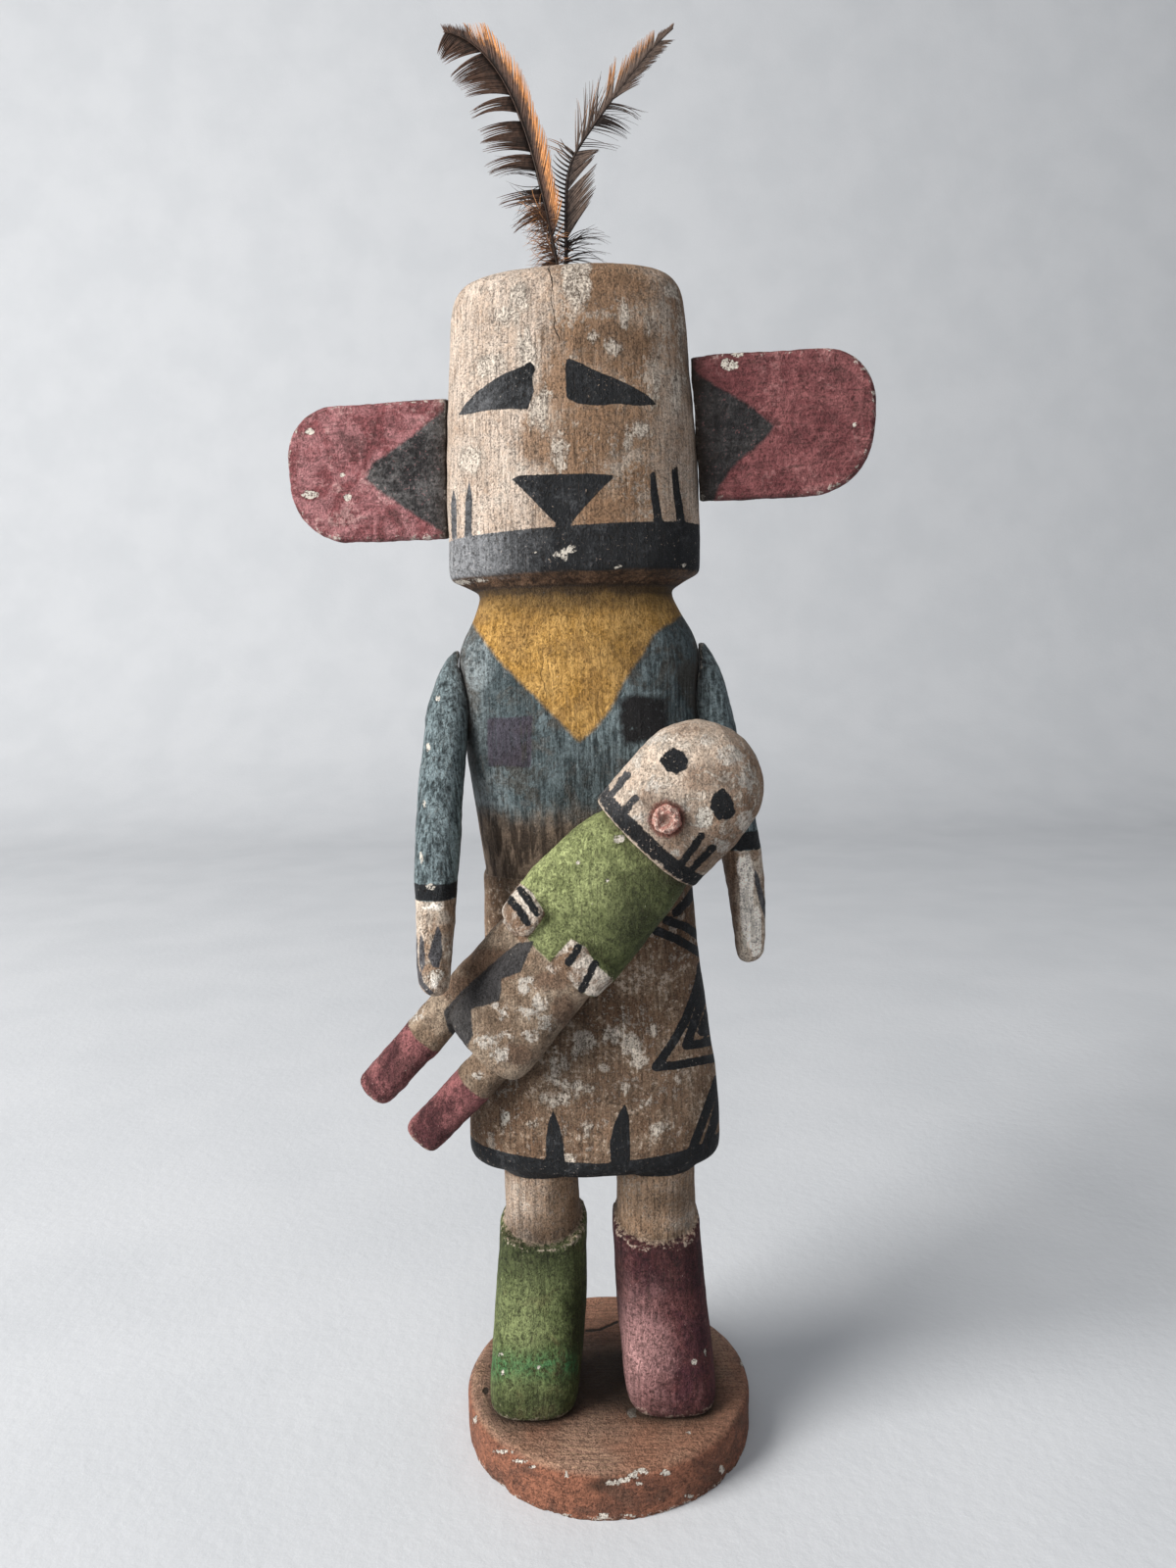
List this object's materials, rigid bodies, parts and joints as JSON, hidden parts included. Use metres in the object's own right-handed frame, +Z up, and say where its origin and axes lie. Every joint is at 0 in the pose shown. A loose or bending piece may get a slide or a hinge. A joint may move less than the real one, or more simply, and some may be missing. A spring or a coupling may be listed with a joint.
{
  "type": "kachina doll",
  "caption": "Carved and painted wooden kachina doll with board ears, on a round plinth, holding a child doll, with feathers in its head",
  "frame": {"origin": "centre of the plinth's underside", "axes": "+Z up through the doll, -Y out of its front, +X to its left hand"},
  "size_m": [0.2319, 0.1329, 0.565],
  "materials": {
    "terracotta_paint": "matte",
    "figure_paint": "matte",
    "maroon_paint": "matte",
    "sleeve_paint": "satin",
    "child_paint": "matte",
    "raw_wood": "matte",
    "feather": "matte"
  },
  "bodies": {
    "root": {"plinth": "terracotta_paint", "figure": "figure_paint", "ear_right": "maroon_paint", "ear_left": "maroon_paint", "arm_right": "sleeve_paint", "arm_left": "sleeve_paint", "child": "child_paint", "child_snout": "raw_wood", "feather_right": "feather", "feather_left": "feather"}
  },
  "joints": []
}
